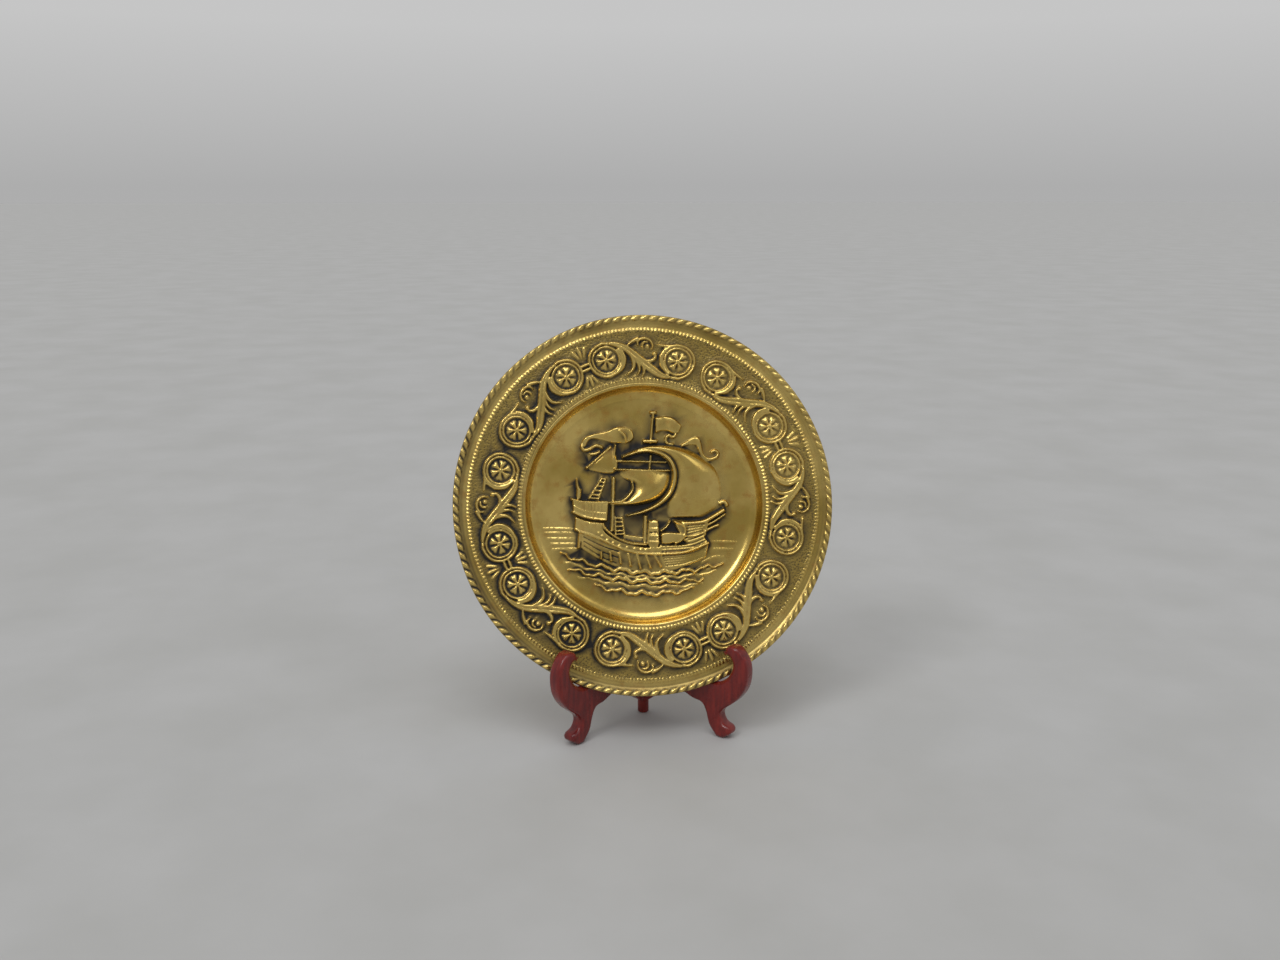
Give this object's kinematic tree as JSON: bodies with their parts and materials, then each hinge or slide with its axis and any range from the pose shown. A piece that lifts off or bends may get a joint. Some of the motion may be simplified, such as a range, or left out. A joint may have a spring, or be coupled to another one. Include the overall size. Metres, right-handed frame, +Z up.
{
  "type": "embossed brass wall plate on a stand",
  "caption": "Round embossed brass wall plate with a sailing ship in the well and a scrolled border, leaning in a folding wooden plate stand",
  "frame": {"origin": "on the floor, under the middle of the whole object's box", "axes": "+Z up, the plate faces -Y and leans back toward +Y, +X is the viewer's right"},
  "size_m": [0.2998, 0.0992, 0.326],
  "materials": {
    "plate": "aged, darkened in the recesses",
    "leaf": "glossy dark red lacquer",
    "pin": "plain wire pin"
  },
  "bodies": {
    "root": {"plate": "plate", "left_leaf": "leaf", "right_leaf": "leaf", "hinge_pin": "pin"}
  },
  "joints": []
}
